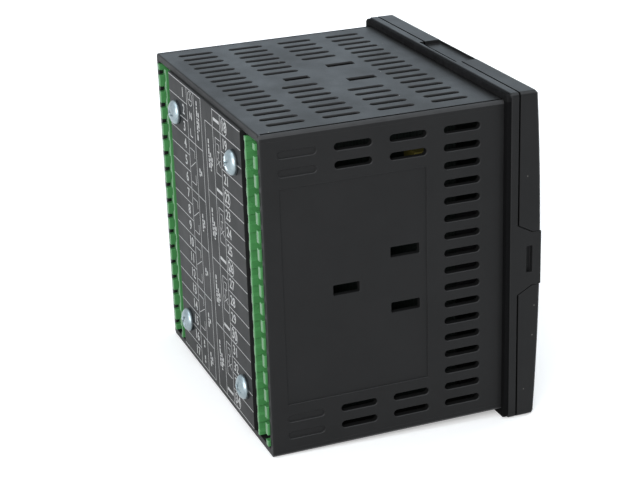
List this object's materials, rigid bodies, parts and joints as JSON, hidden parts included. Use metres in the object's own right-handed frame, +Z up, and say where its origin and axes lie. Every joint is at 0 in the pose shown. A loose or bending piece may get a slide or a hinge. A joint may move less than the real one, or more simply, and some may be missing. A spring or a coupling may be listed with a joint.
{
  "type": "temperature controller",
  "caption": "Panel-mount temperature controller with a square bezel, vented plastic case, green pluggable terminal headers at the rear, display window and push keys.",
  "frame": {"origin": "centre of the bezel's rear face, where it seats on the panel", "axes": "+X right seen from the front, +Y into the panel towards the terminals, +Z up"},
  "size_m": [0.096, 0.0831, 0.096],
  "materials": {
    "case_plastic": "fine-textured dark grey moulding",
    "front_plastic": "fine-textured dark grey moulding",
    "plate_plastic": "dark grey sheet with white print",
    "terminal_green": "green moulding",
    "zinc_steel": "bright zinc plate",
    "tinned_pins": "tin plate",
    "window_smoke": "smoked acrylic, polished",
    "key_plastic": "fine-textured moulding",
    "display_glass": "liquid crystal cell",
    "backlight_white": "light guide",
    "circuit_board": "dark green lacquered laminate",
    "component_black": "moulded black",
    "relay_grey": "moulded",
    "film_yellow": "yellow film capacitor case",
    "core_iron": "stacked laminations",
    "winding_copper": "enamelled wire under tape",
    "can_aluminium": "drawn can"
  },
  "bodies": {
    "housing": {"case": "case_plastic", "front_frame": "front_plastic", "front_cover": "front_plastic", "rear_plate": "plate_plastic", "rear_screws": "zinc_steel", "terminal_header_left": "terminal_green", "terminal_header_right": "terminal_green", "header_pins_left": "tinned_pins", "header_pins_right": "tinned_pins", "display_window": "window_smoke", "display_glass": "display_glass", "display_backlight": "backlight_white", "display_board": "circuit_board", "display_chip": "component_black", "input_board": "circuit_board", "output_board": "circuit_board", "transformer_core": "core_iron", "transformer_winding": "winding_copper", "smoothing_capacitor": "can_aluminium", "display_socket_left": "component_black", "board_plug_left": "component_black", "display_socket_right": "component_black", "board_plug_right": "component_black", "key_switch_1": "component_black", "relay_1": "relay_grey", "snubber_1": "film_yellow", "key_switch_2": "component_black", "relay_2": "relay_grey", "snubber_2": "film_yellow", "key_switch_3": "component_black", "relay_3": "relay_grey", "snubber_3": "film_yellow", "key_switch_4": "component_black", "relay_4": "relay_grey", "snubber_4": "film_yellow", "input_chip_1": "component_black", "input_chip_2": "component_black", "input_chip_3": "component_black"},
    "key_body_1": {"key_1": "key_plastic", "key_plunger_1": "component_black"},
    "key_body_2": {"key_2": "key_plastic", "key_plunger_2": "component_black"},
    "key_body_3": {"key_3": "key_plastic", "key_plunger_3": "component_black"},
    "key_body_4": {"key_4": "key_plastic", "key_plunger_4": "component_black"}
  },
  "joints": [
    {"name": "key_1_press", "type": "slide", "parent": "housing", "child": "key_body_1", "axis": [0, 1, 0], "range_m": [0, 0.0005], "stiffness_N_per_m": 2000},
    {"name": "key_2_press", "type": "slide", "parent": "housing", "child": "key_body_2", "axis": [0, 1, 0], "range_m": [0, 0.0005], "stiffness_N_per_m": 2000},
    {"name": "key_3_press", "type": "slide", "parent": "housing", "child": "key_body_3", "axis": [0, 1, 0], "range_m": [0, 0.0005], "stiffness_N_per_m": 2000},
    {"name": "key_4_press", "type": "slide", "parent": "housing", "child": "key_body_4", "axis": [0, 1, 0], "range_m": [0, 0.0005], "stiffness_N_per_m": 2000}
  ]
}
